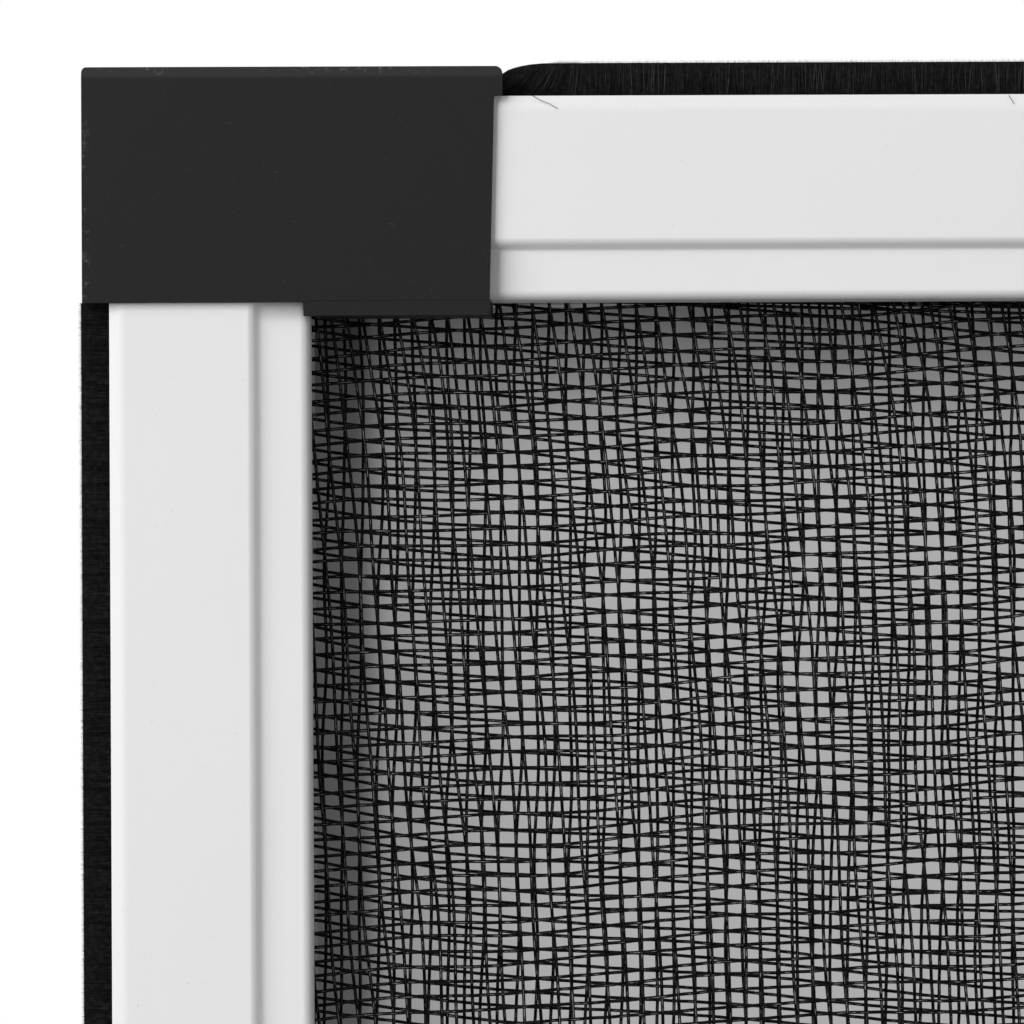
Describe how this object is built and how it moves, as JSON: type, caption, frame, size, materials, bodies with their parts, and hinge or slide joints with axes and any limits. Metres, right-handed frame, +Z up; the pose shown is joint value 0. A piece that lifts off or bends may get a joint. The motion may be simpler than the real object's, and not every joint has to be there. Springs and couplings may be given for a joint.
{
  "type": "extendable window screen",
  "caption": "Insect screen for a window: framed mesh panels, back to back, slide along each other to fit the opening, with brush seals along the edges.",
  "frame": {"origin": "middle of the closed screen's bottom edge, midway between the two panels", "axes": "+X along the slide, the way the rear panel is drawn out; +Y from the front panel to the rear panel; +Z up"},
  "size_m": [0.75, 0.0176, 0.5],
  "materials": {
    "coated_aluminium": "satin",
    "corner_plastic": "matte",
    "pile": "matte",
    "mesh_yarn": "satin",
    "spline_rubber": "matte"
  },
  "bodies": {
    "front_panel": {"front_top_rail": "coated_aluminium", "front_bottom_rail": "coated_aluminium", "front_outer_stile": "coated_aluminium", "front_inner_stile": "coated_aluminium", "front_top_rail_spline": "spline_rubber", "front_bottom_rail_spline": "spline_rubber", "front_outer_stile_spline": "spline_rubber", "front_inner_stile_spline": "spline_rubber", "front_top_rail_brush": "pile", "front_bottom_rail_brush": "pile", "front_outer_stile_brush": "pile", "front_inner_stile_brush": "pile", "front_outer_top_corner": "corner_plastic", "front_outer_bottom_corner": "corner_plastic", "front_inner_top_corner": "corner_plastic", "front_inner_bottom_corner": "corner_plastic", "front_mesh": "mesh_yarn"},
    "rear_panel": {"rear_top_rail": "coated_aluminium", "rear_bottom_rail": "coated_aluminium", "rear_outer_stile": "coated_aluminium", "rear_inner_stile": "coated_aluminium", "rear_top_rail_spline": "spline_rubber", "rear_bottom_rail_spline": "spline_rubber", "rear_outer_stile_spline": "spline_rubber", "rear_inner_stile_spline": "spline_rubber", "rear_top_rail_brush": "pile", "rear_bottom_rail_brush": "pile", "rear_outer_stile_brush": "pile", "rear_inner_stile_brush": "pile", "rear_outer_top_corner": "corner_plastic", "rear_outer_bottom_corner": "corner_plastic", "rear_inner_top_corner": "corner_plastic", "rear_inner_bottom_corner": "corner_plastic", "rear_mesh": "mesh_yarn"}
  },
  "joints": [
    {"name": "panel_slide", "type": "slide", "parent": "front_panel", "child": "rear_panel", "axis": [1, 0, 0], "range_m": [0, 0.677]}
  ]
}
